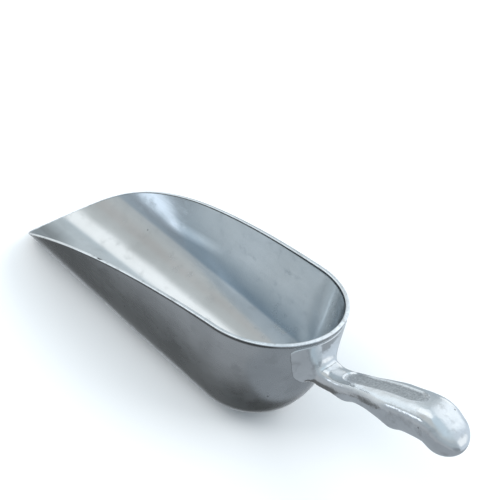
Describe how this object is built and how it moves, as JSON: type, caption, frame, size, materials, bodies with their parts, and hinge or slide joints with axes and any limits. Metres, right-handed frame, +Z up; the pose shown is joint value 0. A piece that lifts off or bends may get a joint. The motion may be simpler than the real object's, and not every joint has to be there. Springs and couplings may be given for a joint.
{
  "type": "ice scoop",
  "caption": "Cast aluminium ice scoop with a deep round-backed trough, a broad sweeping lip and a raised grip with finger swells and a knob end.",
  "frame": {"origin": "centre of the bounding box in X and Y, on the surface that the bowl rests on", "axes": "+X from the lip to the end of the handle, +Z up, the object is symmetric about the plane Y = 0"},
  "size_m": [0.3428, 0.1026, 0.0946],
  "materials": {
    "bowl": "satin, brushed along its length",
    "neck_saddle": "satin, polished",
    "handle": "satin, polished"
  },
  "bodies": {
    "root": {"bowl": "bowl", "neck_saddle": "neck_saddle", "handle": "handle"}
  },
  "joints": []
}
